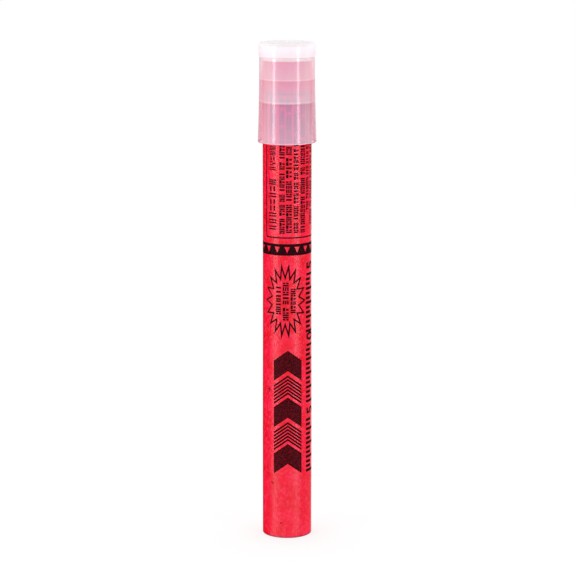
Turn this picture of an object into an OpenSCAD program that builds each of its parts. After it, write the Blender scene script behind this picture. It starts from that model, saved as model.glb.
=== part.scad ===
// Hand-held road flare: a charged paper tube with a translucent pull-off cap.
// Millimetres. The axis is Z, and the origin is the centre of the foot, on the
// plane that the flare stands on.

/* [Casing] */
// Outside diameter over the printed wrap
flare_d = 22.5; // [18:0.5:32]
// Length of the casing, from its foot to its end inside the cap
casing_len = 223; // [160:0.5:300]
// Thickness of the printed outer wrap
wrap_t = 0.3; // [0.2:0.05:0.5]
// Wall of the rolled kraft tube under the wrap
tube_wall = 1.5; // [1:0.1:2.2]

/* [Foot] */
// Depth of the foot disc inside the casing's end
foot_recess = 1.5; // [0.5:0.1:4]
// Thickness of the board foot disc
foot_disc_t = 1.5; // [0.8:0.1:3]
// Height of the rammed clay plug
plug_h = 22; // [10:1:40]
// Thickness of the board wad between plug and charge
wad_t = 1.2; // [0.8:0.1:3]

/* [Charge] */
// Number of pressed increments in the charge
increments = 5; // [3:1:8]
// Height of the first-fire layer over the charge
first_fire_h = 5; // [2:0.5:10]

/* [Igniter button] */
// Depth of the button's collar below the casing's end
collar_recess = 0.8; // [0.4:0.1:2]
// Height of the collar that fills the casing's bore
collar_h = 2.4; // [1.2:0.1:5]
// Diameter of the button's head
head_d = 13; // [8:0.5:14]
// Height that the head stands above the casing's end
head_rise = 1.8; // [1:0.1:4]
// Radius round the head's upper edge
head_round = 0.9; // [0.3:0.1:0.9]

/* [Cap] */
// Length of casing that the cap covers
cap_overlap = 37.5; // [30:0.5:50]
// Radial clearance between the casing and the cap's grip rings
grip_clearance = 0.1; // [0.05:0.01:0.2]
// Wall of the cap at its grip rings
ring_wall = 1.35; // [1:0.05:2]
// Extra radius of the cap at its rim
cap_flare = 0.75; // [0.2:0.05:1.2]
// Wall of the cap at its rim
rim_wall = 1.1; // [0.8:0.05:1.3]
// Radius round the lip of the rim
lip_round = 0.35; // [0.1:0.05:0.35]
// Depth of the upper grip ring below the casing's end
ring_depth = 8.7; // [5:0.1:10]
// Distance between the two grip rings
ring_pitch = 10.1; // [7:0.1:14]
// Radial step of the bore above each grip ring
ring_step = 0.45; // [0.2:0.05:0.6]
// Length of the short slope behind each grip ring
ring_back = 0.5; // [0.2:0.1:1]
// Thickness of the cap's shoulder over the casing's end
shoulder_t = 1.4; // [1:0.1:3]
// Gap between faces that seat on each other
seat_gap = 0.1; // [0.05:0.01:0.2]

/* [Neck and striker] */
// Wall of the neck above the shoulder
neck_wall = 1.4; // [1:0.1:2]
// Height of the snap bead round the neck
bead_rise = 0.15; // [0.1:0.01:0.2]
// Width of the snap bead
bead_w = 1.2; // [0.8:0.1:2]
// Free height between the button's head and the neck's end wall
head_gap = 1.5; // [1:0.1:4]
// Thickness of the neck's end wall
end_wall = 1; // [0.8:0.1:2]
// Width of the rim that surrounds the striker
striker_rim = 1.6; // [1:0.1:3]
// Thickness of the striker's board
striker_board_t = 1; // [0.6:0.1:2]
// Thickness of the striker's abrasive coat
striker_coat_t = 0.5; // [0.2:0.1:1]
// Border of bare board round the coat
coat_margin = 0.6; // [0.3:0.1:2]
// Height of the striker's rim above the coat
rim_rise = 0.6; // [0.3:0.1:2]

/* [Lid] */
// Overhang of the lid past the cap's shoulder
lid_overhang = 0.25; // [0.1:0.05:0.6]
// Wall of the lid's skirt
lid_wall = 0.9; // [0.7:0.05:1.4]
// Radial clearance between the lid and the snap bead
lid_clearance = 0.1; // [0.05:0.01:0.2]
// Free height between the neck and the lid's top
lid_gap = 0.5; // [0.2:0.1:1]
// Thickness of the lid's top
lid_top_t = 1.1; // [0.8:0.1:2]
// Radius round the lid's upper edge
lid_round = 1.5; // [0.5:0.1:2]

/* [Hidden] */
$fn = 96;
// Points along the cap's curved side
flare_steps = 8;
// Small overlap that keeps cuts clean
eps = 0.01;

// Casing and its filling, from the foot upwards
flare_r = flare_d / 2;
tube_r = flare_r - wrap_t;
bore_r = tube_r - tube_wall;
plug_z = foot_recess + foot_disc_t;
wad_z = plug_z + plug_h;
charge_z = wad_z + wad_t;
collar_z = casing_len - collar_recess - collar_h;
first_fire_z = collar_z - first_fire_h;
increment_h = (first_fire_z - charge_z) / increments;
head_z = casing_len + head_rise;

// Cap, from its rim to its neck
throat_r = flare_r + grip_clearance;
cap_r = throat_r + ring_wall;
rim_r = cap_r + cap_flare;
rim_z = casing_len - cap_overlap;
seat_z = casing_len + seat_gap;
shoulder_z = seat_z + shoulder_t;
upper_ring_z = casing_len - ring_depth;
lower_ring_z = upper_ring_z - ring_pitch;

// Neck, striker and lid
lid_r = cap_r + lid_overhang;
lid_bore_r = lid_r - lid_wall;
bead_r = lid_bore_r - lid_clearance;
neck_r = bead_r - bead_rise;
neck_bore_r = neck_r - neck_wall;
end_wall_z = head_z + head_gap;
board_z = end_wall_z + end_wall;
coat_z = board_z + striker_board_t;
neck_z = coat_z + striker_coat_t + rim_rise;
pocket_r = neck_r - striker_rim;
bead_z = (shoulder_z + neck_z) / 2;
lid_z = shoulder_z + seat_gap;
lid_ceiling_z = neck_z + lid_gap;
lid_top_z = lid_ceiling_z + lid_top_t;

function charge_names() = [for (i = [1:increments]) str("charge_increment_", i)];

// Radius of the cap's outside: it widens towards the rim on a parabola.
function cap_side_r(z) =
    let (u = (shoulder_z - z) / (shoulder_z - rim_z))
    cap_r + cap_flare * u * u;

module disc(r, z, h) {
    translate([0, 0, z])
        cylinder(r = r, h = h);
}

module sleeve(r_out, r_in, h) {
    difference() {
        cylinder(r = r_out, h = h);
        translate([0, 0, -eps])
            cylinder(r = r_in, h = h + 2 * eps);
    }
}

// Half section of a disc whose upper edge is rounded.
module rounded_half(r, h, edge) {
    square([r - edge, h]);
    square([r, h - edge]);
    translate([r - edge, h - edge])
        circle(r = edge, $fn = 32);
}

// Printed, waxed paper glued round the casing.
module outer_wrap() {
    color("crimson")
        sleeve(flare_r, tube_r, casing_len);
}

// Kraft paper rolled up and glued into a tube.
module casing_tube() {
    color("burlywood")
        sleeve(tube_r, bore_r, casing_len);
}

// Board disc that closes the foot, set in from the casing's end.
module foot_disc() {
    color("tan")
        disc(bore_r, foot_recess, foot_disc_t);
}

// Dry clay rammed into the lower end, which makes the cool end to hold.
module clay_plug() {
    color("lightgrey")
        disc(bore_r, plug_z, plug_h);
}

// Board wad that the charge is pressed against.
module plug_wad() {
    color("tan")
        disc(bore_r, wad_z, wad_t);
}

// One pressed increment of the red-burning charge, counted from the foot.
module charge_increment(i) {
    color("lightpink")
        disc(bore_r, charge_z + (i - 1) * increment_h, increment_h);
}

// Hotter-burning layer that carries the flame from the button to the charge.
module first_fire() {
    color("dimgrey")
        disc(bore_r, first_fire_z, first_fire_h);
}

// Match-like button: a collar in the bore, and a head to strike.
module igniter_button() {
    color("black")
        union() {
            disc(bore_r, collar_z, collar_h);
            translate([0, 0, collar_z])
                rotate_extrude()
                    rounded_half(head_d / 2, head_z - collar_z, head_round);
        }
}

// Half section of the cap's skirt and shoulder, without its bore.
module cap_side_half() {
    polygon(concat(
        [[0, rim_z + lip_round], [0, shoulder_z]],
        [for (k = [0:flare_steps])
            let (z = shoulder_z + k * (rim_z + lip_round - shoulder_z) / flare_steps)
            [cap_side_r(z), z]]
    ));
    translate([0, rim_z])
        square([rim_r - lip_round, lip_round + eps]);
    translate([rim_r - lip_round, rim_z + lip_round])
        circle(r = lip_round, $fn = 32);
}

// Half section of the bore: each stretch narrows upwards to a grip ring, and
// steps out again behind it.
module cap_bore_half() {
    polygon([
        [0, rim_z - eps],
        [rim_r - rim_wall, rim_z - eps],
        [throat_r, lower_ring_z],
        [throat_r + ring_step, lower_ring_z + ring_back],
        [throat_r, upper_ring_z],
        [throat_r + ring_step, upper_ring_z + ring_back],
        [throat_r, seat_z],
        [0, seat_z]
    ]);
}

// Polyethylene cap: flared skirt, grip rings, shoulder, and a neck whose end
// holds the striker. The casing's end seats under the shoulder.
module cap_shell() {
    color("mistyrose", 0.6)
        difference() {
            union() {
                rotate_extrude() cap_side_half();
                disc(neck_r, shoulder_z - eps, neck_z - shoulder_z + eps);
                disc(bead_r, bead_z - bead_w / 2, bead_w);
            }
            rotate_extrude() cap_bore_half();
            disc(neck_bore_r, seat_z - eps, end_wall_z - seat_z + eps);
            disc(pocket_r, board_z, neck_z - board_z + eps);
        }
}

// Board disc pressed into the pocket of the neck.
module striker_board() {
    color("tan")
        disc(pocket_r, board_z, striker_board_t);
}

// Abrasive coat on the board, which lights the button.
module striker_coat() {
    color("saddlebrown")
        disc(pocket_r - coat_margin, coat_z, striker_coat_t);
}

// Snap lid that keeps the striker dry.
module lid() {
    color("white", 0.8)
        difference() {
            translate([0, 0, lid_z])
                rotate_extrude()
                    rounded_half(lid_r, lid_top_z - lid_z, lid_round);
            disc(lid_bore_r, lid_z - eps, lid_ceiling_z - lid_z + eps);
        }
}

outer_wrap();
casing_tube();
foot_disc();
clay_plug();
plug_wad();
for (i = [1:increments])
    charge_increment(i);
first_fire();
igniter_button();
cap_shell();
striker_board();
striker_coat();
lid();
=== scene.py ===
"""A hand-held road flare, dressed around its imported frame."""

import math
import random

import bmesh
import bpy
from mathutils import Matrix, Vector, noise


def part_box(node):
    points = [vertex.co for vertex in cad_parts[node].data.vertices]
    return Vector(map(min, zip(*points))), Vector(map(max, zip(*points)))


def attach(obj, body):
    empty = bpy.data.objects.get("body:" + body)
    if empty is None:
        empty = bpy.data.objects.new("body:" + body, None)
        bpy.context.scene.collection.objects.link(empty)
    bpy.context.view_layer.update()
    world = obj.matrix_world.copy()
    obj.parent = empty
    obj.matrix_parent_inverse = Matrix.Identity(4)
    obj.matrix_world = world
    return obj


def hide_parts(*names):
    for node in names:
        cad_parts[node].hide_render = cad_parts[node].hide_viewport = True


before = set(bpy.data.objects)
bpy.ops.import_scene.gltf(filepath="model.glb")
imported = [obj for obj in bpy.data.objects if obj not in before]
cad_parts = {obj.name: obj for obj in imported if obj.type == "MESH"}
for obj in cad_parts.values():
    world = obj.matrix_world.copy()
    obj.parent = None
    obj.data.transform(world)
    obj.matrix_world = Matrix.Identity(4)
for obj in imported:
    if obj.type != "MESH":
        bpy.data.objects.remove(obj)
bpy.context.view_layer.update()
MM = 0.001

# Camera. It stands a long arm's length in front of the flare, just above the
# height of its lid, and looks down at it through a long lens.
camera_distance = 0.963
camera_height = 0.3055
camera_pitch = math.radians(11.06)
camera = bpy.data.objects.new("camera", bpy.data.cameras.new("camera"))
camera.data.sensor_width = 36
camera.data.lens = 132.2
camera.location = (0.0004, -camera_distance, camera_height)
camera.rotation_euler = (math.radians(90) - camera_pitch, 0, 0)
bpy.context.scene.collection.objects.link(camera)
bpy.context.scene.camera = camera
bpy.context.scene.view_settings.view_transform = "Standard"


# Studio. Two tall strip lamps stand left and right of the camera, and a graded
# surround lights the flare and shows in its gloss. All of it looks white.
def start_material(name):
    """A material with its node tree and its Principled shader."""
    material = bpy.data.materials.new(name)
    material.use_nodes = True
    return material, material.node_tree, material.node_tree.nodes["Principled BSDF"]


def add_node(tree, kind, settings=None, **sockets):
    """One shader node. A socket's value is a number, a colour, or a socket to link."""
    made = tree.nodes.new("ShaderNode" + kind)
    for name, value in (settings or {}).items():
        setattr(made, name, value)
    for name, value in sockets.items():
        socket = made.inputs[name.replace("_", " ")]
        if isinstance(value, bpy.types.NodeSocket):
            tree.links.new(value, socket)
        else:
            socket.default_value = value
    return made


def screen_colour(red, green, blue):
    """The linear colour that shows as this 8-bit screen colour."""
    linear = [
        share / 12.92 if share <= 0.04045 else ((share + 0.055) / 1.055) ** 2.4
        for share in (red / 255, green / 255, blue / 255)
    ]
    return (*linear, 1.0)


def make_surround():
    """White where the camera sees it, with its own levels for light and for reflections."""
    front_strength = 0.54
    back_strength = 1.42
    table_strength = 0.58
    ceiling_strength = 0.14
    room_turn = math.radians(13)
    side_shine = 0.26
    upper_shine = 0.65
    world = bpy.data.worlds.new("surround")
    bpy.context.scene.world = world
    world.use_nodes = True
    tree = world.node_tree
    tree.nodes.clear()
    direction = add_node(tree, "SeparateXYZ", Vector=add_node(tree, "TexCoord").outputs["Generated"])
    # What a glossy surface sees: a bright room in front, turned a little to
    # the left, dim sides, and the white backdrop behind.
    turned = add_node(tree, "VectorRotate", {"rotation_type": "Z_AXIS"}, Angle=room_turn,
                      Vector=add_node(tree, "TexCoord").outputs["Generated"])
    level = add_node(tree, "ValToRGB", Fac=add_node(
        tree, "MapRange", From_Min=-1, From_Max=1,
        Value=add_node(tree, "SeparateXYZ", Vector=turned.outputs[0]).outputs["Y"],
    ).outputs[0])
    stops = level.color_ramp.elements
    stops[0].position, stops[0].color = 0.0, (0.55, 0.55, 0.55, 1)
    stops[1].position, stops[1].color = 1.0, (1, 1, 1, 1)
    for position, shade in (
        (0.05, 0.64), (0.16, 0.84), (0.27, 0.95), (0.32, 0.7), (0.38, 0.0), (0.94, 0.0), (0.99, 1.0)
    ):
        stops.new(position).color = (shade, shade, shade, 1)
    right = add_node(
        tree, "MapRange", Value=direction.outputs["X"], From_Min=0.45, From_Max=0.9,
        To_Max=side_shine,
    )
    mirrored = add_node(tree, "Math", {"operation": "ADD", "use_clamp": True})
    tree.links.new(level.outputs[0], mirrored.inputs[0])
    tree.links.new(right.outputs[0], mirrored.inputs[1])
    # The white table shows in it from low down, and the room further up is darker.
    table_shine = add_node(
        tree, "MapRange", Value=direction.outputs["Z"], From_Min=-0.25, From_Max=-0.13,
        To_Min=1.0, To_Max=upper_shine,
    )
    shine = add_node(tree, "Math", {"operation": "MULTIPLY"})
    tree.links.new(mirrored.outputs[0], shine.inputs[0])
    tree.links.new(table_shine.outputs[0], shine.inputs[1])
    # What lights the flare: brighter behind than in front, over a white table.
    around = add_node(
        tree, "MapRange", Value=direction.outputs["Y"], From_Min=-1, From_Max=1,
        To_Min=front_strength, To_Max=back_strength,
    )
    soft = around
    for level_at, strength in ((-1.0, table_strength), (1.0, ceiling_strength)):
        share = add_node(
            tree, "MapRange", Value=direction.outputs["Z"], From_Min=-0.1 * level_at,
            From_Max=level_at, To_Max=strength,
        )
        total = add_node(tree, "Math", {"operation": "ADD"})
        tree.links.new(soft.outputs[0], total.inputs[0])
        tree.links.new(share.outputs[0], total.inputs[1])
        soft = total
    fill = add_node(tree, "Background", Color=(1, 1, 1, 1), Strength=soft.outputs[0])
    glossy = add_node(tree, "Background", Color=(1, 1, 1, 1), Strength=shine.outputs[0])
    white = add_node(tree, "Background", Color=(1, 1, 1, 1), Strength=1.0)
    path = add_node(tree, "LightPath")
    lit = add_node(tree, "MixShader", Fac=path.outputs["Is Glossy Ray"])
    tree.links.new(fill.outputs[0], lit.inputs[1])
    tree.links.new(glossy.outputs[0], lit.inputs[2])
    through = add_node(tree, "Math", {"operation": "MAXIMUM"})
    tree.links.new(path.outputs["Is Camera Ray"], through.inputs[0])
    tree.links.new(path.outputs["Is Transmission Ray"], through.inputs[1])
    seen = add_node(tree, "MixShader", Fac=through.outputs[0])
    tree.links.new(lit.outputs[0], seen.inputs[1])
    tree.links.new(white.outputs[0], seen.inputs[2])
    output = add_node(tree, "OutputWorld")
    tree.links.new(seen.outputs[0], output.inputs["Surface"])


def make_floor():
    """A pale floor for the camera alone, with a faint soft shadow. It is clear from below."""
    half_width = 8.0
    drop = 0.0001
    glow_strength = 0.68
    material, tree, shader = start_material("floor_white")
    tree.nodes.remove(shader)
    glow = add_node(tree, "Emission", Color=(1, 1, 1, 1), Strength=glow_strength)
    paint = add_node(tree, "BsdfDiffuse", Color=(0.3, 0.3, 0.3, 1))
    seen = add_node(tree, "AddShader")
    tree.links.new(glow.outputs[0], seen.inputs[0])
    tree.links.new(paint.outputs[0], seen.inputs[1])
    below = add_node(tree, "NewGeometry").outputs["Backfacing"]
    open_floor = add_node(tree, "MixShader", Fac=below)
    tree.links.new(seen.outputs[0], open_floor.inputs[1])
    tree.links.new(add_node(tree, "BsdfTransparent").outputs[0], open_floor.inputs[2])
    tree.links.new(open_floor.outputs[0], tree.nodes["Material Output"].inputs["Surface"])
    shape = bmesh.new()
    bmesh.ops.create_grid(
        shape, x_segments=1, y_segments=1, size=half_width,
        matrix=Matrix.Translation((0, 0, -drop)),
    )
    mesh = bpy.data.meshes.new("floor")
    shape.to_mesh(mesh)
    shape.free()
    mesh.materials.append(material)
    floor = bpy.data.objects.new("floor", mesh)
    floor.visible_diffuse = False
    floor.visible_glossy = False
    floor.visible_shadow = False
    bpy.context.scene.collection.objects.link(floor)


def make_strip_lamp(name, bearing, width):
    """A tall soft strip, at a bearing in degrees to the right of the camera."""
    bearing = math.radians(bearing)
    reach, lamp_height, aim_height = 1.2, 0.3, 0.14
    strip_length = 1.3
    power_per_width = 16
    lamp = bpy.data.objects.new(name, bpy.data.lights.new(name, "AREA"))
    lamp.data.shape = "RECTANGLE"
    lamp.data.size = width
    lamp.data.size_y = strip_length
    lamp.data.energy = power_per_width * width
    lamp.location = (reach * math.sin(bearing), -reach * math.cos(bearing), lamp_height)
    aim = Vector((0, 0, aim_height)) - lamp.location
    lamp.rotation_euler = aim.to_track_quat("-Z", "Y").to_euler()
    bpy.context.scene.collection.objects.link(lamp)


make_surround()
make_floor()
make_strip_lamp("strip_lamp_left", -55, 0.22)
make_strip_lamp("strip_lamp_right", 46, 0.18)


# Outer wrap. One sheet of coarse red paper, printed, waxed and glued round the
# casing, with its free edge lapped down the back.
wrap_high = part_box("outer_wrap")[1]
wrap_r = wrap_high.x / MM
wrap_len = wrap_high.z / MM
wrap_bore_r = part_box("casing_tube")[1].x / MM
lap_angle = math.radians(-128)
lap_width = math.radians(14)
lap_rise = 0.06
foot_swell, swell_low, swell_high = 0.26, 30.0, 150.0
wave_sink, slow_wave, quick_wave = 0.03, 0.022, 0.008


def wrap_standoff(angle, height):
    """How far the paper stands off its nominal radius, in mm: it is looser towards the foot."""
    past_lap = (angle - lap_angle) % (2 * math.pi)
    lap = lap_rise * max(0.0, 1 - past_lap / lap_width)
    around = Vector((math.sin(angle), math.cos(angle), height / 26))
    slow = noise.noise(around * 1.3)
    quick = noise.noise(around * 4.1 + Vector((7, 3, 1)))
    loose = min(1.0, max(0.0, (swell_high - height) / (swell_high - swell_low)))
    swell = foot_swell * loose * loose * (3 - 2 * loose)
    return lap + swell - wave_sink + slow_wave * slow + quick_wave * quick


def bend_point(angle, radius, height):
    """A point on the flare, with angle 0 at its front and radius and height in mm."""
    return Vector((math.sin(angle) * radius, -math.cos(angle) * radius, height)) * MM


def lathe(outline, steps=192, closed=True):
    """A (radius, height) outline in mm, spun once round the flare's axis."""
    shape = bmesh.new()
    points = [shape.verts.new((r * MM, 0, z * MM)) for r, z in outline]
    pairs = list(zip(points, points[1:]))
    if closed:
        pairs.append((points[-1], points[0]))
    for pair in pairs:
        shape.edges.new(pair)
    bmesh.ops.spin(
        shape, geom=shape.verts[:] + shape.edges[:], cent=(0, 0, 0), axis=(0, 0, 1),
        angle=2 * math.pi, steps=steps, use_merge=True,
    )
    bmesh.ops.remove_doubles(shape, verts=shape.verts, dist=1e-7)
    bmesh.ops.recalc_face_normals(shape, faces=shape.faces)
    return shape


def finish_piece(shape, name, materials, body, stands_for=()):
    """Turns a bmesh into a piece that rides on a body and takes a slot's finish."""
    mesh = bpy.data.meshes.new(name)
    shape.to_mesh(mesh)
    shape.free()
    for material in materials:
        mesh.materials.append(material)
    mesh.shade_smooth()
    mesh.set_sharp_from_angle(angle=math.radians(38))
    piece = bpy.data.objects.new(name, mesh)
    bpy.context.scene.collection.objects.link(piece)
    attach(piece, body)
    if stands_for:
        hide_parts(*stands_for)
    return piece


def corner(centre_r, centre_z, radius, start, steps=4):
    """Points of a quarter round in an outline, from a start angle in degrees."""
    turns = [math.radians(start + 90 * k / steps) for k in range(steps + 1)]
    return [(centre_r + radius * math.cos(a), centre_z + radius * math.sin(a)) for a in turns]


def waxed_paper():
    """Red paper under a thin wax: mottled colour, fine fibres, a soft sheen."""
    material, tree, shader = start_material("waxed_red_paper")
    place = add_node(tree, "TexCoord").outputs["Object"]
    stretched = add_node(tree, "Mapping", Vector=place, Scale=(1, 1, 0.85))
    patches = add_node(tree, "TexNoise", Vector=place, Scale=150, Detail=3, Roughness=0.6)
    blotches = add_node(
        tree, "TexNoise", Vector=stretched.outputs[0], Scale=760, Detail=3, Roughness=0.6
    )
    fibres = add_node(
        tree, "TexNoise", Vector=stretched.outputs[0], Scale=2100, Detail=4, Roughness=0.65
    )
    patch_level = add_node(
        tree, "MapRange", Value=patches.outputs[0], From_Min=0.33, From_Max=0.67
    )
    blotch_level = add_node(
        tree, "MapRange", Value=blotches.outputs[0], From_Min=0.46, From_Max=0.76
    )
    fibre_level = add_node(
        tree, "MapRange", Value=fibres.outputs[0], From_Min=0.34, From_Max=0.66
    )
    ground = add_node(
        tree, "MixRGB", Fac=patch_level.outputs[0],
        Color1=screen_colour(234, 0, 26), Color2=screen_colour(251, 14, 59),
    )
    blotch_share = add_node(tree, "Math", {"operation": "MULTIPLY"})
    tree.links.new(blotch_level.outputs[0], blotch_share.inputs[0])
    blotch_share.inputs[1].default_value = 0.6
    blotched = add_node(
        tree, "MixRGB", Fac=blotch_share.outputs[0],
        Color1=ground.outputs[0], Color2=screen_colour(253, 70, 104),
    )
    flecked = add_node(
        tree, "MixRGB", {"blend_type": "MULTIPLY"}, Fac=0.12,
        Color1=blotched.outputs[0], Color2=fibre_level.outputs[0],
    )
    # Painted shadow: the lowest half millimetre of the paper, its cut end too, is darkened
    # to a dark purple where it stands on the floor.
    height = add_node(tree, "SeparateXYZ", Vector=place).outputs["Z"]
    foot_shadow_share = add_node(
        tree, "MapRange", Value=height, From_Min=0.00025, From_Max=0.0005, To_Min=0.9, To_Max=0
    )
    painted_foot_shadow = add_node(
        tree, "MixRGB", Fac=foot_shadow_share.outputs[0],
        Color1=flecked.outputs[0], Color2=screen_colour(66, 14, 52),
    )
    tree.links.new(painted_foot_shadow.outputs[0], shader.inputs["Base Color"])
    gloss = add_node(
        tree, "MapRange", Value=blotches.outputs[0], From_Min=0.3, From_Max=0.7,
        To_Min=0.1, To_Max=0.19,
    )
    tree.links.new(gloss.outputs[0], shader.inputs["Roughness"])
    shader.inputs["Specular IOR Level"].default_value = 0.5
    coarse = add_node(
        tree, "Bump", Strength=0.6, Distance=0.0002, Height=blotches.outputs[0]
    )
    fine = add_node(
        tree, "Bump", Strength=0.9, Distance=0.0001,
        Height=fibres.outputs[0], Normal=coarse.outputs[0],
    )
    tree.links.new(fine.outputs[0], shader.inputs["Normal"])
    return material


def make_wrap():
    edge = 0.12
    rings = 200
    side = [
        (wrap_r, edge + (wrap_len - 2 * edge) * k / rings) for k in range(1, rings)
    ]
    outline = (
        [(wrap_bore_r, 0), (wrap_r - edge, 0)]
        + corner(wrap_r - edge, edge, edge, -90)[1:]
        + side
        + corner(wrap_r - edge, wrap_len - edge, edge, 0)
        + [(wrap_bore_r, wrap_len)]
    )
    shape = lathe(outline, steps=224)
    for vert in shape.verts:
        radius = math.hypot(vert.co.x, vert.co.y) / MM
        if radius > wrap_bore_r + 0.01:
            angle = math.atan2(vert.co.x, -vert.co.y)
            height = vert.co.z / MM
            vert.co = bend_point(angle, radius + wrap_standoff(angle, height), height)
    finish_piece(shape, "outer_wrap_paper", [waxed_paper()], "case",
                 ["outer_wrap"])


make_wrap()


# Print. Black ink laid on the wrap: a band to hold below, a ruled panel, a
# burst, a block of chevrons and a scale of minutes. Every mark is a thin
# solid that follows the paper.
ink_height = 0.02
circumference = 2 * math.pi * wrap_r


def ink(name, light, dark, speck_share):
    """Ink with the paper grinning through its pinholes."""
    material, tree, shader = start_material(name)
    place = add_node(tree, "TexCoord").outputs["Object"]
    mottle = add_node(tree, "TexNoise", Vector=place, Scale=1900, Detail=3, Roughness=0.6)
    holes = add_node(tree, "TexVoronoi", Vector=place, Scale=1700)
    cover = add_node(
        tree, "MapRange", Value=mottle.outputs[0], From_Min=0.4, From_Max=0.66
    )
    body = add_node(tree, "MixRGB", Fac=cover.outputs[0], Color1=dark, Color2=light)
    hole = add_node(
        tree, "MapRange", Value=holes.outputs["Distance"],
        From_Min=0.0, From_Max=0.3, To_Min=speck_share, To_Max=0,
    )
    shown = add_node(
        tree, "MixRGB", Fac=hole.outputs[0], Color1=body.outputs[0],
        Color2=screen_colour(190, 24, 44),
    )
    tree.links.new(shown.outputs[0], shader.inputs["Base Color"])
    shader.inputs["Roughness"].default_value = 0.5
    shader.inputs["Specular IOR Level"].default_value = 0.05
    lumps = add_node(tree, "Bump", Strength=0.3, Distance=0.00015, Height=mottle.outputs[0])
    tree.links.new(lumps.outputs[0], shader.inputs["Normal"])
    return material


solid_ink = ink("ink_solid", screen_colour(100, 8, 20), screen_colour(26, 1, 6), 0.8)
edge_ink = ink("ink_squeezed_edge", screen_colour(26, 3, 7), screen_colour(12, 1, 3), 0.1)
line_ink = ink("ink_line", screen_colour(54, 4, 12), screen_colour(14, 1, 4), 0.3)


def flat_block(shape, left, low, width, height):
    """A flat rectangle of print: arc length and height in mm."""
    place = Matrix.Translation((left + width / 2, low + height / 2, 0))
    size = Matrix.Diagonal((width, height, 1, 1))
    return bmesh.ops.create_grid(
        shape, x_segments=1, y_segments=1, size=0.5, matrix=place @ size
    )["verts"]


def lay_print(shape, name, materials=None, border=0.0):
    """Slices flat print finely, bends it round the wrap and gives it thickness."""
    across, along = 0.75, 2.5
    for axis, pitch in ((0, across), (1, along)):
        reach = [v.co[axis] for v in shape.verts]
        normal = Vector((1, 0, 0)) if axis == 0 else Vector((0, 1, 0))
        for k in range(math.ceil(min(reach) / pitch), math.floor(max(reach) / pitch) + 1):
            bmesh.ops.bisect_plane(
                shape, geom=shape.verts[:] + shape.edges[:] + shape.faces[:],
                dist=1e-5, plane_co=normal * (k * pitch), plane_no=normal,
            )
    for vert in shape.verts:
        angle, height = vert.co.x / wrap_r, vert.co.y
        vert.co = bend_point(angle, wrap_r + wrap_standoff(angle, height), height)
    bmesh.ops.remove_doubles(shape, verts=shape.verts, dist=1e-7)
    if border:
        rim = bmesh.ops.inset_region(
            shape, faces=shape.faces[:], thickness=border * MM,
            use_boundary=True, use_even_offset=True,
        )
        for face in rim["faces"]:
            face.material_index = 1
    bmesh.ops.recalc_face_normals(shape, faces=shape.faces)
    raised = bmesh.ops.extrude_face_region(shape, geom=shape.faces[:])
    for item in raised["geom"]:
        if isinstance(item, bmesh.types.BMVert):
            outward = Vector((item.co.x, item.co.y, 0)).normalized()
            item.co += outward * (ink_height * MM)
    bmesh.ops.recalc_face_normals(shape, faces=shape.faces)
    return finish_piece(shape, name, materials or [line_ink], "case")


def make_band():
    """The hold-below band, with pointers left open in it."""
    low, high = 134.5, 139.8
    cells = 15
    pitch = circumference / cells
    half, top, tip, edge = 1.25, high - 1.3, low + 1.15, 0.3
    shape = bmesh.new()
    for k in range(cells):
        left = -circumference / 2 + k * pitch
        for base, height in ((low, edge), (low + edge, high - low - 2 * edge), (high - edge, edge)):
            flat_block(shape, left, base, pitch, height)
    bmesh.ops.remove_doubles(shape, verts=shape.verts, dist=1e-4)
    for k in range(cells):
        middle = -circumference / 2 + (k + 0.5) * pitch
        corners = [Vector((middle - half, top, 0)), Vector((middle + half, top, 0)),
                   Vector((middle, tip, 0))]
        cell = [
            f for f in shape.faces
            if abs(f.calc_center_median().x - middle) < pitch / 2
            and edge < f.calc_center_median().y - low < high - low - edge
        ]
        for a, b in zip(corners, corners[1:] + corners[:1]):
            side = Vector((b.y - a.y, a.x - b.x, 0)).normalized()
            edges = {e for f in cell for e in f.edges}
            verts = {v for f in cell for v in f.verts}
            cut = bmesh.ops.bisect_plane(
                shape, geom=[*verts, *edges, *cell], dist=1e-5, plane_co=a, plane_no=side
            )
            cell = [f for f in cut["geom"] if isinstance(f, bmesh.types.BMFace)]
        centre = sum(corners, Vector()) / 3
        opened = min(cell, key=lambda f: (f.calc_center_median() - centre).length)
        bmesh.ops.delete(shape, geom=[opened], context="FACES_ONLY")
    for face in shape.faces:
        rise = face.calc_center_median().y - low
        face.material_index = int(not edge < rise < high - low - edge)
    lay_print(shape, "print_hold_band", [line_ink, edge_ink])


def make_frame_line():
    """A fine line with round corners about the panel of ruled marks."""
    left, right, low, high = -11.4, 28.0, 142.4, 208.5
    line, corner_r = 0.58, 1.1
    shape = bmesh.new()
    flat_block(shape, left, low, right - left, high - low)
    corners = shape.verts[:]
    bmesh.ops.bevel(
        shape, geom=corners, offset=corner_r, segments=4, profile=0.5,
        affect="VERTICES", material=-1,
    )
    bmesh.ops.inset_region(
        shape, faces=shape.faces[:], thickness=line, use_boundary=True, use_even_offset=True
    )
    inner = max(shape.faces, key=lambda f: f.calc_area())
    bmesh.ops.delete(shape, geom=[inner], context="FACES_ONLY")
    lay_print(shape, "print_panel_line")


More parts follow.
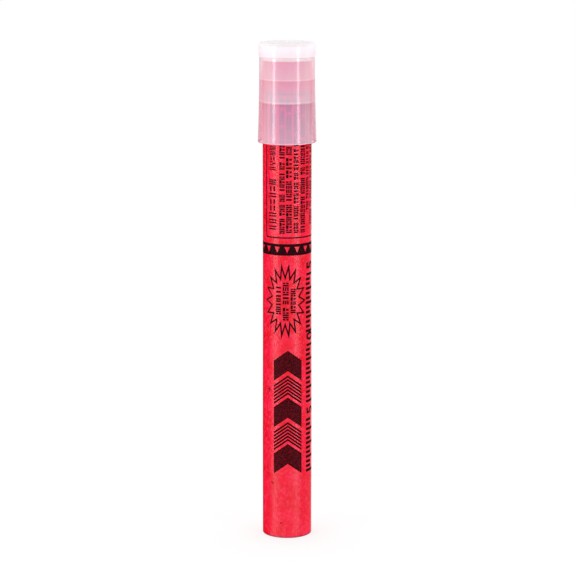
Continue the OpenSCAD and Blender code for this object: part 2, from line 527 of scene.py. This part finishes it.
# Plain bars and blocks that fill a line of marks, as (start, end) along the
# line and (start, end) across it, in shares of the mark's own size.
BOLD_MARKS = (
    ((0.0, 0.36, 0.0, 1.0), (0.5, 0.86, 0.0, 0.42), (0.5, 0.86, 0.58, 1.0)),
    ((0.0, 0.86, 0.0, 0.26), (0.0, 0.86, 0.38, 0.62), (0.0, 0.86, 0.74, 1.0)),
    ((0.0, 0.36, 0.0, 1.0), (0.5, 0.86, 0.0, 1.0)),
    ((0.0, 0.86, 0.0, 0.43), (0.22, 0.64, 0.56, 1.0)),
    ((0.0, 0.38, 0.0, 0.44), (0.0, 0.38, 0.58, 1.0), (0.5, 0.86, 0.0, 1.0)),
    ((0.2, 0.62, 0.0, 1.0),),
)
FINE_MARKS = (
    ((0.0, 0.19, 0.0, 1.0), (0.3, 0.49, 0.0, 1.0), (0.6, 0.79, 0.0, 1.0)),
    ((0.0, 0.78, 0.16, 0.36), (0.0, 0.78, 0.64, 0.84)),
    ((0.0, 0.19, 0.0, 0.55), (0.3, 0.49, 0.45, 1.0), (0.6, 0.79, 0.0, 0.55)),
    ((0.1, 0.3, 0.0, 1.0), (0.5, 0.7, 0.0, 1.0)),
)


def mark_line(shape, left, low, high, height, advance, groups, marks, chooser):
    """A line of rule marks running up the flare, in groups with gaps between."""
    at = low
    for count in groups:
        for _ in range(count):
            if at + advance > high:
                return
            for a0, a1, c0, c1 in chooser.choice(marks):
                flat_block(shape, left + c0 * height, at + a0 * advance,
                           (c1 - c0) * height, (a1 - a0) * advance)
            at += advance
        at += 0.6 * advance


def make_panel_marks():
    chooser = random.Random(11)
    shape = bmesh.new()
    top = 207.2
    mark_line(shape, -9.2, 146.0, 172.0, 4.1, 3.0, (8,), FINE_MARKS, chooser)
    mark_line(shape, -8.8, 173.5, top, 3.4, 2.3, (6, 8), FINE_MARKS, chooser)
    columns = (
        (-3.6, 144.6, 2.5, (4, 3, 2, 5, 2, 8, 4, 3, 4)),
        (-0.5, 145.0, 2.65, (7, 5, 5, 2, 7, 4, 3, 5)),
        (3.05, 144.9, 2.3, (3, 4, 6, 2, 6, 3, 7, 4)),
        (6.5, 144.8, 2.6, (9, 4, 2, 6, 5, 3, 6)),
        (9.8, 155.0, 2.0, (3, 7, 3, 4, 5, 2, 6, 5)),
        (12.9, 148.0, 2.0, (5, 2, 6, 4, 3, 5, 7, 6)),
        (16.2, 144.8, 2.3, (6, 3, 7, 2, 5, 4, 6)),
        (19.7, 144.8, 2.3, (4, 8, 2, 3, 6, 5, 6)),
        (23.2, 144.8, 2.3, (2, 5, 7, 3, 4, 4, 8)),
    )
    for left, low, height, groups in columns:
        mark_line(shape, left, low, top, height, 0.72 * height, groups, BOLD_MARKS, chooser)
    lay_print(shape, "print_panel_marks")


def make_burst():
    """A star-shaped burst line round three lines of marks."""
    points, centre_x, centre_z = 18, -0.9, 113.2
    outer, inner, line = (10.45, 18.1), (7.0, 12.0), 0.66
    shape = bmesh.new()
    verts = []
    for k in range(2 * points):
        angle = -math.pi * (k + 1) / points
        reach = outer if k % 2 == 0 else inner
        verts.append(shape.verts.new(
            (centre_x + reach[0] * math.sin(angle), centre_z + reach[1] * math.cos(angle), 0)
        ))
    shape.faces.new(verts).normal_update()
    bmesh.ops.inset_region(
        shape, faces=shape.faces[:], thickness=line, use_boundary=True, use_even_offset=True
    )
    hollow = max(shape.faces, key=lambda f: f.calc_area())
    bmesh.ops.delete(shape, geom=[hollow], context="FACES_ONLY")
    chooser = random.Random(5)
    mark_line(shape, -5.3, 107.0, 120.8, 2.4, 1.95, (7,), BOLD_MARKS, chooser)
    mark_line(shape, -2.0, 104.2, 123.4, 2.7, 2.1, (3, 6), BOLD_MARKS, chooser)
    mark_line(shape, 1.6, 107.6, 120.2, 2.4, 1.95, (6,), BOLD_MARKS, chooser)
    lay_print(shape, "print_burst")


def make_chevrons(middle):
    """A block of chevrons that point to the burning end, solid and ruled in turn."""
    half, low = 6.7, 31.0
    rise, depth, pitch, count = 5.0, 9.6, 11.1, 5
    rules, rule_share = 6, 0.62
    solid, ruled = bmesh.new(), bmesh.new()

    def chevron(shape, base, height):
        for side in (-1, 1):
            verts = flat_block(shape, min(0, side * half), base, half, height)
            for vert in verts:
                vert.co.y -= abs(vert.co.x) * rise / half
                vert.co.x += middle

    for k in range(count):
        base = low + rise + k * pitch
        if k % 2 == 0:
            chevron(solid, base, depth)
        else:
            for rule in range(rules):
                chevron(ruled, base + rule * depth / rules, rule_share * depth / rules)
    for shape in (solid, ruled):
        bmesh.ops.remove_doubles(shape, verts=shape.verts, dist=1e-4)
    side_name = "front" if middle < circumference / 4 else "back"
    lay_print(solid, "print_chevrons_solid_" + side_name, [solid_ink, edge_ink], border=0.3)
    lay_print(ruled, "print_chevrons_ruled_" + side_name)


def make_minute_scale():
    """A graduated scale of fifteen minutes, numbered at every fifth."""
    left, width, low, minutes = 9.8, 6.4, 31.0, 15
    minute_step, bar = 6.67, 1.25
    shape = bmesh.new()
    for minute in range(minutes):
        base = low + minute * minute_step
        if minute % 5 == 4:
            continue
        flat_block(shape, left, base, width, bar)
        flat_block(shape, left, base + 2.2, 0.58 * width, bar)
        flat_block(shape, left, base + 4.4, 0.58 * width, bar)
    for minute in (5, 10, 15):
        text = bpy.data.curves.new("minute_number", "FONT")
        text.body = str(minute)
        text.size = 8.2
        text.offset = 0.16
        text.align_x = "CENTER"
        holder = bpy.data.objects.new("minute_number", text)
        bpy.context.scene.collection.objects.link(holder)
        flat = bpy.data.meshes.new_from_object(holder)
        middle = low + (minute - 0.6) * minute_step
        turn = Matrix.Rotation(math.radians(90), 4, "Z")
        flat.transform(Matrix.Translation((left + width - 0.2, middle, 0)) @ turn)
        shape.from_mesh(flat)
        bpy.data.objects.remove(holder)
        bpy.data.meshes.remove(flat)
    bmesh.ops.remove_doubles(shape, verts=shape.verts, dist=1e-4)
    lay_print(shape, "print_minute_scale")


def make_scuffs():
    """Small dark rubs and a printer's register cross."""
    shape = bmesh.new()
    rubs = ((-7.3, 26.5, 1.6, 0.45, -18), (-2.8, 7.2, 0.8, 0.5, 30), (7.4, 26.8, 0.4, 0.35, 0))
    cross = ((-8.9, 71.0, 2.2, 0.3, 0), (-8.9, 71.0, 2.2, 0.3, 90))
    for middle, height, length, thickness, turn in rubs + cross:
        verts = flat_block(shape, -length / 2, -thickness / 2, length, thickness)
        bmesh.ops.rotate(
            shape, verts=verts, matrix=Matrix.Rotation(math.radians(turn), 3, "Z")
        )
        bmesh.ops.translate(shape, verts=verts, vec=(middle, height, 0))
    lay_print(shape, "print_rubs")


make_band()
make_frame_line()
make_panel_marks()
make_burst()
make_chevrons(0.3)
make_chevrons(37.0)
make_minute_scale()
make_scuffs()


# Casing tube. Kraft paper rolled up wet with glue, so that its cut ends show
# the plies as rings and its bore shows the paper's grain.
def kraft_plies(bore_radius, ply):
    material, tree, shader = start_material("kraft_plies")
    place = add_node(tree, "TexCoord").outputs["Object"]
    flat = add_node(tree, "Mapping", Vector=place, Scale=(1, 1, 0))
    radius = add_node(tree, "VectorMath", {"operation": "LENGTH"})
    tree.links.new(flat.outputs[0], radius.inputs[0])
    wander = add_node(tree, "TexNoise", Vector=place, Scale=220, Detail=3)
    wandered = add_node(tree, "Math", {"operation": "MULTIPLY_ADD"})
    tree.links.new(wander.outputs[0], wandered.inputs[0])
    wandered.inputs[1].default_value = 0.6 * ply * MM
    tree.links.new(radius.outputs["Value"], wandered.inputs[2])
    turns = add_node(tree, "MapRange", Value=wandered.outputs[0],
                     From_Min=bore_radius, From_Max=bore_radius + ply * MM)
    turns.clamp = False
    saw = add_node(tree, "Math", {"operation": "PINGPONG"})
    tree.links.new(turns.outputs[0], saw.inputs[0])
    saw.inputs[1].default_value = 0.5
    fibres = add_node(tree, "TexNoise", Vector=place, Scale=1600, Detail=4, Roughness=0.7)
    ply_colour = add_node(
        tree, "MixRGB", Fac=saw.outputs[0],
        Color1=screen_colour(150, 112, 72), Color2=screen_colour(214, 178, 130),
    )
    colour = add_node(
        tree, "MixRGB", {"blend_type": "OVERLAY"}, Fac=0.5,
        Color1=ply_colour.outputs[0], Color2=fibres.outputs[0],
    )
    tree.links.new(colour.outputs[0], shader.inputs["Base Color"])
    shader.inputs["Roughness"].default_value = 0.85
    bump = add_node(tree, "Bump", Strength=0.5, Distance=0.0001, Height=saw.outputs[0])
    rough = add_node(
        tree, "Bump", Strength=0.5, Distance=0.0001, Height=fibres.outputs[0],
        Normal=bump.outputs[0],
    )
    tree.links.new(rough.outputs[0], shader.inputs["Normal"])
    return material


def dress(node, material):
    """Gives a node of the frame its finish."""
    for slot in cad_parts[node].material_slots:
        slot.material = material


tube_bore_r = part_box("foot_disc")[1].x
dress("casing_tube", kraft_plies(tube_bore_r, 0.16))


# Foot disc. Grey board punched out, pressed into the casing and dished by the
# tool that pressed it.
def grey_board(name, light, dark):
    material, tree, shader = start_material(name)
    place = add_node(tree, "TexCoord").outputs["Object"]
    flecks = add_node(tree, "TexNoise", Vector=place, Scale=900, Detail=5, Roughness=0.75)
    clumps = add_node(tree, "TexNoise", Vector=place, Scale=190, Detail=2)
    level = add_node(tree, "MapRange", Value=flecks.outputs[0], From_Min=0.35, From_Max=0.62)
    colour = add_node(tree, "MixRGB", Fac=level.outputs[0], Color1=dark, Color2=light)
    shaded = add_node(
        tree, "MixRGB", {"blend_type": "SOFT_LIGHT"}, Fac=0.6,
        Color1=colour.outputs[0], Color2=clumps.outputs[0],
    )
    tree.links.new(shaded.outputs[0], shader.inputs["Base Color"])
    shader.inputs["Roughness"].default_value = 0.9
    bump = add_node(tree, "Bump", Strength=0.5, Distance=0.0002, Height=flecks.outputs[0])
    tree.links.new(bump.outputs[0], shader.inputs["Normal"])
    return material


def make_foot_disc():
    low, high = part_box("foot_disc")
    radius, base, top = high.x / MM, low.z / MM, high.z / MM
    edge = 0.3
    outline = (
        [(0, base + 0.35), (2.6, base + 0.35), (3.2, base + 0.1), (radius - 1.6, base + 0.02),
         (radius - 1.2, base), (radius - edge, base)]
        + corner(radius - edge, base + edge, edge, 270)[1:]
        + [(radius, top), (0, top)]
    )
    shape = lathe(outline, steps=96, closed=False)
    board = grey_board("foot_board", screen_colour(196, 180, 156), screen_colour(132, 116, 94))
    finish_piece(shape, "foot_board_disc", [board], "case", ["foot_disc"])


make_foot_disc()


# Filling. Clay at the foot, a board wad, the pressed red-burning charge and
# the darker layer that lights it. All of it is sealed in the casing.
def packed_powder(name, light, dark, grain):
    material, tree, shader = start_material(name)
    place = add_node(tree, "TexCoord").outputs["Object"]
    specks = add_node(tree, "TexVoronoi", Vector=place, Scale=grain)
    clumps = add_node(tree, "TexNoise", Vector=place, Scale=grain / 6, Detail=4)
    level = add_node(tree, "MapRange", Value=clumps.outputs[0], From_Min=0.35, From_Max=0.65)
    colour = add_node(tree, "MixRGB", Fac=level.outputs[0], Color1=dark, Color2=light)
    speckled = add_node(
        tree, "MixRGB", {"blend_type": "MULTIPLY"}, Fac=0.25,
        Color1=colour.outputs[0], Color2=specks.outputs["Distance"],
    )
    tree.links.new(speckled.outputs[0], shader.inputs["Base Color"])
    shader.inputs["Roughness"].default_value = 0.92
    bump = add_node(tree, "Bump", Strength=0.6, Distance=0.0003, Height=specks.outputs[0])
    tree.links.new(bump.outputs[0], shader.inputs["Normal"])
    return material


dress("clay_plug", packed_powder(
    "rammed_clay", screen_colour(196, 188, 174), screen_colour(158, 148, 134), 1600))
dress("plug_wad", grey_board("wad_board", screen_colour(190, 172, 144),
                             screen_colour(134, 118, 96)))
red_charge = packed_powder(
    "pressed_charge", screen_colour(214, 160, 146), screen_colour(176, 116, 106), 2400)
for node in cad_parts:
    if node.startswith("charge_increment"):
        dress(node, red_charge)
dress("first_fire", packed_powder(
    "first_fire_mix", screen_colour(112, 104, 100), screen_colour(64, 58, 56), 2400))


# Igniter button. A black match-like mix pressed into a crimped paper collar in
# the casing's mouth. Its surface is grainy and a little uneven.
def match_mix():
    material, tree, shader = start_material("match_mix")
    place = add_node(tree, "TexCoord").outputs["Object"]
    grains = add_node(tree, "TexVoronoi", Vector=place, Scale=2200)
    lumps = add_node(tree, "TexNoise", Vector=place, Scale=700, Detail=4, Roughness=0.65)
    level = add_node(tree, "MapRange", Value=lumps.outputs[0], From_Min=0.36, From_Max=0.66)
    colour = add_node(
        tree, "MixRGB", Fac=level.outputs[0],
        Color1=screen_colour(26, 24, 25), Color2=screen_colour(74, 64, 62),
    )
    tree.links.new(colour.outputs[0], shader.inputs["Base Color"])
    gloss = add_node(tree, "MapRange", Value=grains.outputs[0], From_Max=0.6,
                     To_Min=0.42, To_Max=0.85)
    tree.links.new(gloss.outputs[0], shader.inputs["Roughness"])
    coarse = add_node(tree, "Bump", Strength=0.7, Distance=0.0003, Height=lumps.outputs[0])
    fine = add_node(
        tree, "Bump", Strength=0.5, Distance=0.00012, Height=grains.outputs[0],
        Normal=coarse.outputs[0],
    )
    tree.links.new(fine.outputs[0], shader.inputs["Normal"])
    return material


def make_igniter():
    low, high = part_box("igniter_button")
    collar_r, base, top = high.x / MM, low.z / MM, high.z / MM
    collar_recess = 0.8
    collar_top = wrap_len - collar_recess
    head_r, edge = 6.5, 0.9
    crimps = 28
    dome = [
        (head_r - edge - (head_r - edge) * k / 12, top - 0.08 * (1 - (k / 12) ** 2) * (k > 0))
        for k in range(1, 13)
    ]
    outline = (
        [(0, base), (collar_r - 0.2, base), (collar_r, base + 0.2), (collar_r, collar_top - 0.25)]
        + corner(collar_r - 0.25, collar_top - 0.25, 0.25, 0)[1:]
        + [(collar_r - 0.25 - k * (collar_r - head_r - 0.45) / 8, collar_top) for k in range(1, 9)]
        + [(head_r + 0.05, collar_top + 0.12), (head_r, collar_top + 0.45),
           (head_r, collar_top + 1.0)]
        + corner(head_r - edge, top - edge, edge, 0, steps=6)
        + dome
    )
    shape = lathe(outline, steps=168, closed=False)
    for vert in shape.verts:
        radius = math.hypot(vert.co.x, vert.co.y) / MM
        height = vert.co.z / MM
        angle = math.atan2(vert.co.y, vert.co.x)
        if height < collar_top - 0.01:
            continue
        if radius > head_r + 0.2:
            reach = (collar_r - radius) / (collar_r - head_r)
            crimp = 0.5 - 0.5 * math.cos(crimps * angle)
            vert.co.z -= 0.22 * crimp * math.sin(math.pi * min(1, max(0, reach))) * MM
        else:
            lump = noise.noise(vert.co / MM * 0.9) + 0.5 * noise.noise(vert.co / MM * 2.6)
            shrink = 1 - 0.012 * (1 + lump)
            vert.co.x *= shrink
            vert.co.y *= shrink
            vert.co.z -= 0.06 * (1 + lump) * MM * (height > collar_top + 0.6)
    for face in shape.faces:
        middle = face.calc_center_median()
        face.material_index = int(math.hypot(middle.x, middle.y) / MM > head_r + 0.2)
    collar_paper = grey_board(
        "collar_paper", screen_colour(150, 128, 100), screen_colour(92, 76, 58))
    finish_piece(shape, "igniter_pressed_button", [match_mix(), collar_paper], "case",
                 ["igniter_button"])


make_igniter()


# Cap. A polyethylene moulding in its milky natural tint: a flared skirt with
# two grip rings in its bore, a shoulder, and a neck that holds the striker.
# The red of the wrap that shows through it, highlights on the grip-ring ledges
# and shade under each ring are painted into its colour, in bands by height.
def height_ramp(tree, height, painted_bands):
    """Colours by height. Bands are (height in mm, colour), upwards."""
    low, high = painted_bands[0][0], painted_bands[-1][0]
    share = add_node(tree, "MapRange", Value=height, From_Min=low * MM, From_Max=high * MM)
    ramp = add_node(tree, "ValToRGB", Fac=share.outputs[0])
    stops = ramp.color_ramp.elements
    stops[0].color, stops[1].color = painted_bands[0][1], painted_bands[-1][1]
    for z, colour in painted_bands[1:-1]:
        stops.new((z - low) / (high - low)).color = colour
    return ramp.outputs[0]


def milky_plastic(name, painted_bands, edge_red_glow, cover, gloss):
    """Milky polyethylene with a glossy skin.

    It is painted paler on its slanted sides, and where it is seen edge on it turns to a
    painted red glow, the wrap's light showing at the edges.
    """
    material, tree, shader = start_material(name)
    place = add_node(tree, "TexCoord").outputs["Object"]
    height = add_node(tree, "SeparateXYZ", Vector=place).outputs["Z"]
    flow = add_node(tree, "Mapping", Vector=place, Scale=(1, 1, 0.3))
    cloud = add_node(tree, "TexNoise", Vector=flow.outputs[0], Scale=170, Detail=3)
    clouded = add_node(
        tree, "MixRGB", {"blend_type": "SOFT_LIGHT"}, Fac=0.18,
        Color1=height_ramp(tree, height, painted_bands), Color2=cloud.outputs[0],
    )
    # Painted light by the angle it is seen at: the slanted sides are painted paler, and the edges
    # turn to the wrap's painted red glow.
    facing = add_node(tree, "LayerWeight", Blend=0.5).outputs["Facing"]
    slanted = add_node(
        tree, "MapRange", Value=facing, From_Min=0.05, From_Max=0.26, To_Max=0.3
    )
    sides_painted_paler = add_node(
        tree, "MixRGB", Fac=slanted.outputs[0], Color1=clouded.outputs[0], Color2=(1, 1, 1, 1)
    )
    edge_on = add_node(tree, "MapRange", Value=facing, From_Min=0.4, From_Max=0.56)
    edge_glow_painted = add_node(
        tree, "MixRGB", Fac=edge_on.outputs[0],
        Color1=sides_painted_paler.outputs[0], Color2=height_ramp(tree, height, edge_red_glow),
    )
    tree.links.new(edge_glow_painted.outputs[0], shader.inputs["Base Color"])
    shader.inputs["Alpha"].default_value = cover
    shader.inputs["Roughness"].default_value = 0.5
    shader.inputs["Coat Weight"].default_value = gloss
    shader.inputs["Coat Roughness"].default_value = 0.13
    shader.inputs["Coat IOR"].default_value = 2.1
    shader.inputs["Sheen Weight"].default_value = 0.2
    shader.inputs["Sheen Roughness"].default_value = 0.4
    skin = add_node(tree, "TexNoise", Vector=flow.outputs[0], Scale=700, Detail=2)
    waves = add_node(tree, "Bump", Strength=0.015, Distance=0.0002, Height=skin.outputs[0])
    tree.links.new(waves.outputs[0], shader.inputs["Normal"])
    tree.links.new(waves.outputs[0], shader.inputs["Coat Normal"])
    return material


def make_cap():
    low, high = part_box("cap_shell")
    rim_z, neck_top = low.z / MM, high.z / MM
    rim_r = high.x / MM
    lid_low, lid_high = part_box("lid")
    seat_gap = 0.1
    shoulder_z = lid_low.z / MM - seat_gap
    board_low, board_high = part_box("striker_board")
    pocket_r, pocket_z = board_high.x / MM, board_low.z / MM
    flare, rim_wall, lip = 0.75, 1.1, 0.35
    grip_clearance, ring_depth, ring_pitch = 0.1, 8.7, 10.1
    lid_wall, lid_clearance, bead_rise, neck_wall, end_wall = 0.9, 0.1, 0.15, 1.4, 1.0
    cap_r = rim_r - flare
    throat_r = wrap_r + grip_clearance
    ring_step, ring_back, ring_land = 0.45, 0.5, 0.12
    upper_ring = wrap_len - ring_depth
    lower_ring = upper_ring - ring_pitch
    seat_z = wrap_len + seat_gap
    bead_r = lid_high.x / MM - lid_wall - lid_clearance
    neck_r = bead_r - bead_rise
    neck_bore_r = neck_r - neck_wall
    end_wall_z = pocket_z - end_wall
    bead_z = (shoulder_z + neck_top) / 2
    edge = 0.25

    def side_r(z):
        return cap_r + flare * ((shoulder_z - z) / (shoulder_z - rim_z)) ** 2

    side_low, side_high = rim_z + lip, shoulder_z - edge
    heights = [side_low + (side_high - side_low) * k / 30 for k in range(1, 31)]
    ring_edges = [ring + step for ring in (lower_ring, upper_ring) for step in (0.0, ring_back)]
    side = [(side_r(z), z) for z in sorted(heights + ring_edges + [wrap_len])]
    outline = (
        corner(rim_r - rim_wall + lip, rim_z + lip, lip, 180)
        + corner(rim_r - lip, rim_z + lip, lip, 270)
        + side
        + corner(cap_r - edge, shoulder_z - edge, edge, 0)[1:]
        + [(neck_r + 0.15, shoulder_z), (neck_r, shoulder_z + 0.15)]
        + [(neck_r, bead_z - 0.6), (bead_r - 0.03, bead_z - 0.3), (bead_r, bead_z),
           (bead_r - 0.03, bead_z + 0.3), (neck_r, bead_z + 0.6)]
        + corner(neck_r - 0.3, neck_top - 0.3, 0.3, 0)
        + corner(pocket_r + 0.2, neck_top - 0.2, 0.2, 90)
        + [(pocket_r, pocket_z), (0, pocket_z)]
        + [(0, end_wall_z), (neck_bore_r - 0.3, end_wall_z), (neck_bore_r, end_wall_z - 0.3)]
        + [(neck_bore_r, seat_z + 0.15), (neck_bore_r + 0.15, seat_z)]
        + [(throat_r, seat_z), (throat_r + ring_step, upper_ring + ring_back),
           (throat_r, upper_ring + ring_land), (throat_r, upper_ring - ring_land)]
        + [(throat_r + ring_step, lower_ring + ring_back),
           (throat_r, lower_ring + ring_land), (throat_r, lower_ring - ring_land)]
    )
    shape = lathe(outline)
    for face in shape.faces:
        middle = face.calc_center_median()
        reach = math.hypot(middle.x, middle.y) / MM
        height = middle.z / MM
        inside = reach < throat_r + ring_step + 0.6 and height < end_wall_z + 0.1
        solid = height > wrap_len or height < rim_z + 0.3
        if inside and face.normal.to_2d().dot(middle.to_2d()) < 1e-6:
            face.material_index = 3
        elif solid:
            face.material_index = 4
        else:
            face.material_index = (height > lower_ring) + (height > upper_ring)
    # Painted light by height: the red of the wrap showing through, painted shade just under each grip
    # ring, painted highlights on the ring ledges, and a band paler above the wrap's end, painted
    # lighter still against the shade of the lid's seat.
    painted_bands = (
        (rim_z, screen_colour(227, 205, 224)),
        (rim_z + 0.7, screen_colour(232, 199, 225)),
        (lower_ring - 2.5, screen_colour(224, 163, 203)),
        (lower_ring - 0.45, screen_colour(216, 148, 192)),
        (lower_ring - 0.3, screen_colour(244, 212, 230)),
        (lower_ring + 0.05, screen_colour(255, 240, 250)),
        (lower_ring + ring_back, screen_colour(250, 236, 248)),
        (lower_ring + ring_back + 0.25, screen_colour(230, 218, 238)),
        (upper_ring - 0.1, screen_colour(216, 179, 207)),
        (upper_ring + 0.05, screen_colour(240, 224, 238)),
        (upper_ring + ring_back, screen_colour(242, 222, 236)),
        (upper_ring + ring_back + 0.25, screen_colour(228, 208, 226)),
        (wrap_len - 0.1, screen_colour(227, 184, 210)),
        (wrap_len + 0.1, screen_colour(255, 222, 232)),
        (shoulder_z - 0.2, screen_colour(255, 236, 242)),
        (neck_top, screen_colour(255, 250, 252)),
    )
    # The bore is painted pink with the red light that the wrap throws on it.
    bore_red_bounce = (
        (rim_z, screen_colour(236, 184, 230)),
        (wrap_len - 0.1, screen_colour(236, 188, 236)),
        (wrap_len + 0.1, screen_colour(255, 236, 242)),
        (neck_top, screen_colour(255, 248, 251)),
    )
    # The wrap's red glow, painted where the wall is seen edge on.
    edge_red_glow = (
        (rim_z, screen_colour(230, 124, 160)),
        (lower_ring - 0.1, screen_colour(230, 114, 152)),
        (lower_ring + 0.1, screen_colour(240, 158, 186)),
        (upper_ring - 0.1, screen_colour(240, 160, 188)),
        (upper_ring + 0.1, screen_colour(248, 196, 214)),
        (neck_top, screen_colour(255, 236, 242)),
    )
    skins = [
        milky_plastic(f"milky_cap_{part}", painted_bands, edge_red_glow, cover, gloss)
        for part, cover, gloss in (("skirt", 0.52, 1.0), ("waist", 0.56, 0.86), ("crown", 0.62, 0.72))
    ]
    bore = milky_plastic("milky_cap_bore", bore_red_bounce, edge_red_glow, 0.2, 1.0)
    thick = milky_plastic("milky_cap_edges", painted_bands, edge_red_glow, 0.84, 1.0)
    cap = finish_piece(shape, "cap_moulding", [*skins, bore, thick], "cap",
                       ["cap_shell"])
    cap.visible_shadow = False


make_cap()


# Striker. A disc of grey board pressed into the neck, with a red-brown
# abrasive coat that lights the button when the two are rubbed together.
def striking_grit():
    material, tree, shader = start_material("striking_grit")
    place = add_node(tree, "TexCoord").outputs["Object"]
    grains = add_node(tree, "TexVoronoi", Vector=place, Scale=2600)
    patches = add_node(tree, "TexNoise", Vector=place, Scale=420, Detail=4, Roughness=0.6)
    level = add_node(tree, "MapRange", Value=patches.outputs[0], From_Min=0.36, From_Max=0.64)
    colour = add_node(
        tree, "MixRGB", Fac=level.outputs[0],
        Color1=screen_colour(84, 40, 32), Color2=screen_colour(132, 66, 50),
    )
    glints = add_node(tree, "MapRange", Value=grains.outputs[0], From_Min=0.0, From_Max=0.5,
                      To_Min=0.35, To_Max=0.0)
    glinting = add_node(
        tree, "MixRGB", Fac=glints.outputs[0], Color1=colour.outputs[0],
        Color2=screen_colour(178, 128, 108),
    )
    tree.links.new(glinting.outputs[0], shader.inputs["Base Color"])
    shader.inputs["Roughness"].default_value = 0.78
    bump = add_node(tree, "Bump", Strength=0.8, Distance=0.00025, Height=grains.outputs[0])
    tree.links.new(bump.outputs[0], shader.inputs["Normal"])
    return material


def make_striker():
    low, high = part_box("striker_coat")
    radius, base, top = high.x / MM, low.z / MM, high.z / MM
    shape = lathe(
        [(0, base), (radius - 0.1, base)]
        + [(radius, base + 0.12), (radius - 0.12, top - 0.1)]
        + [(radius - 0.35 - k * (radius - 0.35) / 24, top) for k in range(25)],
        steps=144, closed=False,
    )
    for vert in shape.verts:
        height = vert.co.z / MM
        if height > base + 0.2:
            at = vert.co / MM
            vert.co.z -= (0.04 + 0.05 * noise.noise(at * 1.1) + 0.03 * noise.noise(at * 4)) * MM
            vert.co.z = min(vert.co.z, top * MM)
    finish_piece(shape, "striker_grit_coat", [striking_grit()], "cap",
                 ["striker_coat"])
    dress("striker_board", grey_board(
        "striker_card", screen_colour(204, 190, 168), screen_colour(150, 134, 112)))


make_striker()


# Lid. The same plastic without the cap's painted red bounce, a shallow snap cover that
# keeps the striker dry. A sunk panel and the mark of the mould's gate are on top.
def make_lid():
    low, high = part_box("lid")
    neck_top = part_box("cap_shell")[1].z / MM
    base, top, radius = low.z / MM, high.z / MM, high.x / MM
    wall, ceiling_gap = 0.9, 0.5
    bore_r = radius - wall
    ceiling = neck_top + ceiling_gap
    edge, lip, sunk = 1.5, 0.2, 0.12
    panel_r = radius - edge - 1.2
    outline = (
        [(0, ceiling), (bore_r - 0.5, ceiling), (bore_r, ceiling - 0.5)]
        + corner(bore_r + lip, base + lip, lip, 180)
        + corner(radius - lip, base + lip, lip, 270)
        + corner(radius - edge, top - edge, edge, 0, steps=10)
        + [(panel_r + 0.3, top), (panel_r + 0.1, top - 0.05), (panel_r, top - sunk)]
        + [(1.2, top - sunk), (1.0, top - sunk - 0.15), (0.5, top - sunk - 0.15),
           (0.4, top - sunk + 0.1), (0, top - sunk + 0.12)]
    )
    shape = lathe(outline, closed=False)
    for face in shape.faces:
        middle = face.calc_center_median()
        inward = face.normal.to_2d().dot(middle.to_2d()) < -1e-9 or face.normal.z < -0.9
        face.material_index = int(inward and math.hypot(middle.x, middle.y) / MM < bore_r + 0.1)
    # Painted light: pinker at the bottom with the red glow from the cap below, and whiter towards the
    # top, where the light falls.
    painted_bands = (
        (base, screen_colour(255, 230, 236)),
        (base + 1.5, screen_colour(255, 233, 239)),
        (top - 1.5, screen_colour(255, 242, 249)),
        (top, screen_colour(255, 253, 254)),
    )
    skin = milky_plastic("milky_lid_skin", painted_bands, painted_bands, 0.8, 0.4)
    bore = milky_plastic("milky_lid_bore", painted_bands, painted_bands, 0.4, 0.4)
    lid = finish_piece(shape, "lid_moulding", [skin, bore], "lid", ["lid"])
    lid.visible_shadow = False


make_lid()
